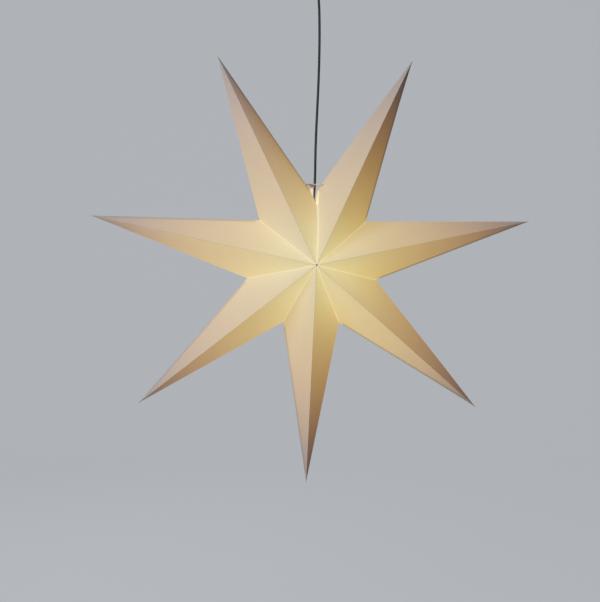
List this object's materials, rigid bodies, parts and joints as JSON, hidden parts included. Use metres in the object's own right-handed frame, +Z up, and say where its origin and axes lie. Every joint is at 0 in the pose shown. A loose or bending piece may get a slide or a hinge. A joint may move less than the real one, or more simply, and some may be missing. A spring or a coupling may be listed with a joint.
{
  "type": "paper star pendant lamp",
  "caption": "Folded paper star pendant lamp: hollow pointed sheets glued round one axis, a lampholder and bulb inside, hung by its cord from a ceiling cup.",
  "frame": {"origin": "middle of the ceiling bracket's top face, on the ceiling and above the middle of the star", "axes": "+Z up to the ceiling, the front of the star looks along -Y, +X to the viewer's right"},
  "size_m": [0.9801, 0.269, 1.19],
  "materials": {
    "paper": "uncoated translucent cream paper, lit from inside",
    "string": "twisted natural yarn",
    "opal_glass": "opal, evenly glowing",
    "black_plastic": "satin black moulded plastic",
    "insert_ceramic": "unglazed",
    "brass": "plain",
    "steel": "zinc plated",
    "bracket_steel": "zinc plated sheet",
    "wire_sheath": "insulated wires",
    "cord_black": "smooth black cable sheath",
    "white_plastic": "natural white"
  },
  "bodies": {
    "root": {"star_point_1": "paper", "star_point_2": "paper", "star_point_3": "paper", "star_point_4": "paper", "star_point_5": "paper", "star_point_6": "paper", "star_point_7": "paper", "tie_string": "string", "bulb": "opal_glass", "nipple": "black_plastic", "nipple_screw": "steel", "holder_cap": "black_plastic", "holder_shell": "black_plastic", "holder_insert": "insert_ceramic", "threaded_sleeve": "brass", "centre_contact": "brass", "terminal_screw_1": "brass", "terminal_screw_2": "brass", "lamp_wires": "wire_sheath", "power_cord": "cord_black", "ceiling_gland": "black_plastic", "gland_nut": "black_plastic", "gland_screw": "steel", "ceiling_cup": "black_plastic", "ceiling_bracket": "bracket_steel", "cup_screw_1": "steel", "cup_screw_2": "steel", "terminal_block": "white_plastic", "block_screw_1": "brass", "block_screw_2": "brass", "block_screw_3": "brass", "block_screw_4": "brass", "ceiling_wires": "wire_sheath"}
  },
  "joints": []
}
